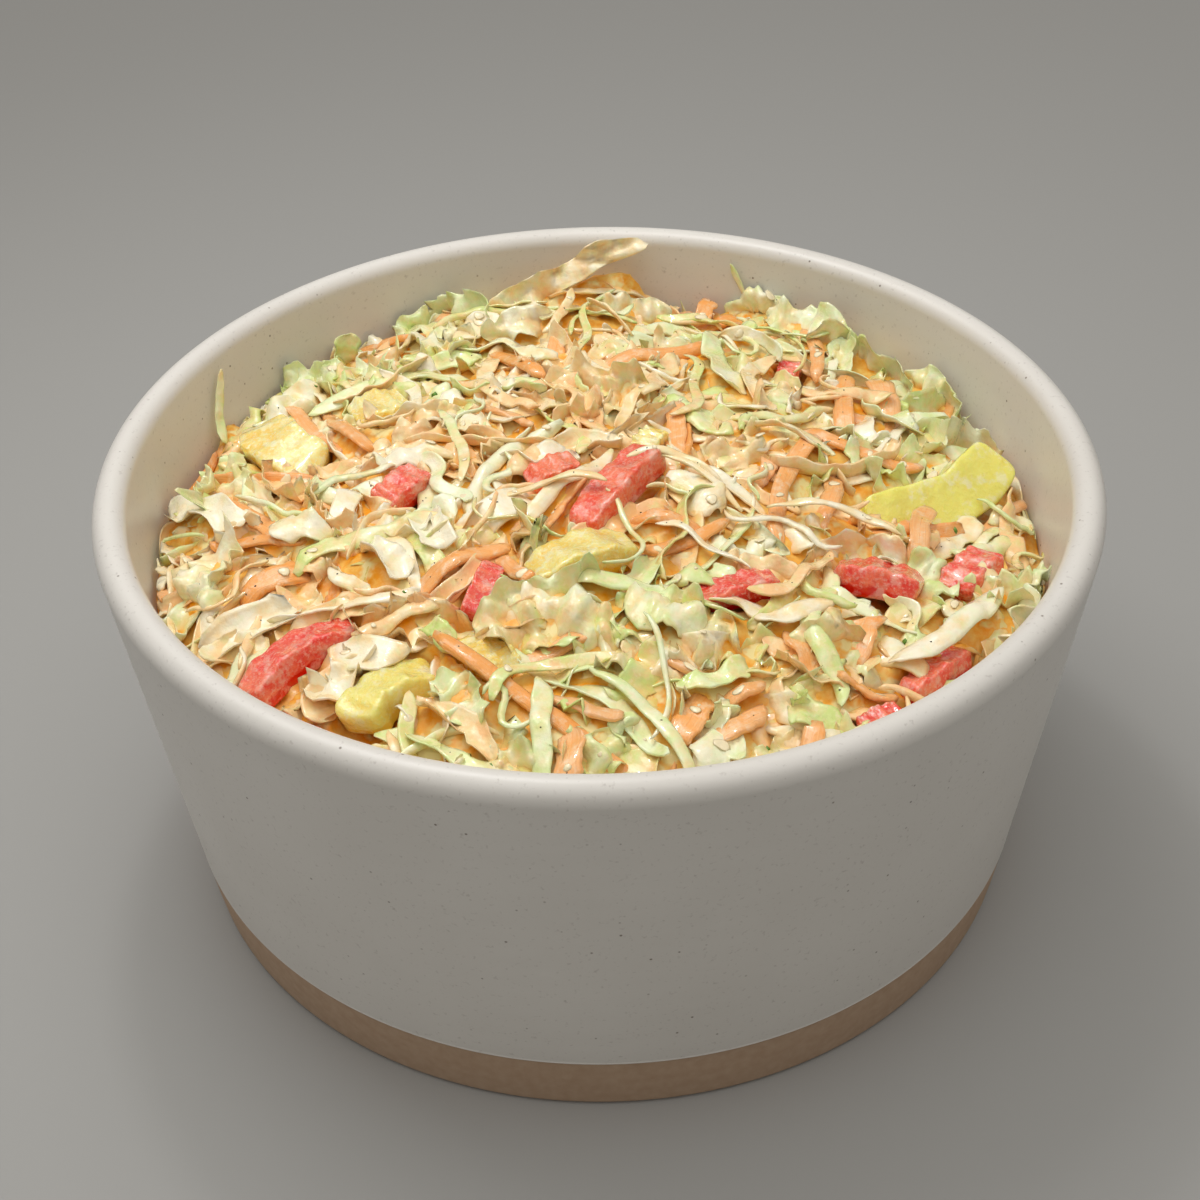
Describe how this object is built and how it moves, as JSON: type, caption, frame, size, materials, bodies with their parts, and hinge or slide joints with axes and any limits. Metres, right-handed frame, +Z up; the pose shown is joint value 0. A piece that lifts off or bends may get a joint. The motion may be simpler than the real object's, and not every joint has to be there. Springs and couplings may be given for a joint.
{
  "type": "coleslaw in a bowl",
  "caption": "Creamy coleslaw of shredded cabbage and carrot with bell pepper pieces, heaped in a round straight-sided speckled stoneware serving bowl.",
  "frame": {"origin": "centre of the bowl's flat underside, on the surface that it stands on", "axes": "+Z up along the bowl's axis, +Y away from the viewer of the picture, +X to the viewer's right"},
  "size_m": [0.24, 0.24, 0.111],
  "materials": {
    "stoneware": "satin speckled off-white glaze over a bare clay foot band",
    "cabbage": "moist shredded white and pale green cabbage coated with creamy dressing",
    "carrot": "moist shredded carrot thinly coated with dressing",
    "red_pepper": "glossy red skin with paler pink moist flesh",
    "yellow_pepper": "glossy yellow to yellow-green skin with pale moist flesh",
    "dressing": "glossy creamy dressing with black pepper specks"
  },
  "bodies": {
    "root": {"bowl": "stoneware", "slaw": "cabbage", "red_pepper_1": "red_pepper", "red_pepper_2": "red_pepper", "red_pepper_3": "red_pepper", "red_pepper_4": "red_pepper", "red_pepper_5": "red_pepper", "red_pepper_6": "red_pepper", "red_pepper_7": "red_pepper", "red_pepper_8": "red_pepper", "red_pepper_9": "red_pepper", "red_pepper_10": "red_pepper", "red_pepper_11": "red_pepper", "red_pepper_12": "red_pepper", "yellow_pepper_1": "yellow_pepper", "yellow_pepper_2": "yellow_pepper", "yellow_pepper_3": "yellow_pepper", "yellow_pepper_4": "yellow_pepper", "yellow_pepper_5": "yellow_pepper", "yellow_pepper_6": "yellow_pepper", "yellow_pepper_7": "yellow_pepper"}
  },
  "joints": []
}
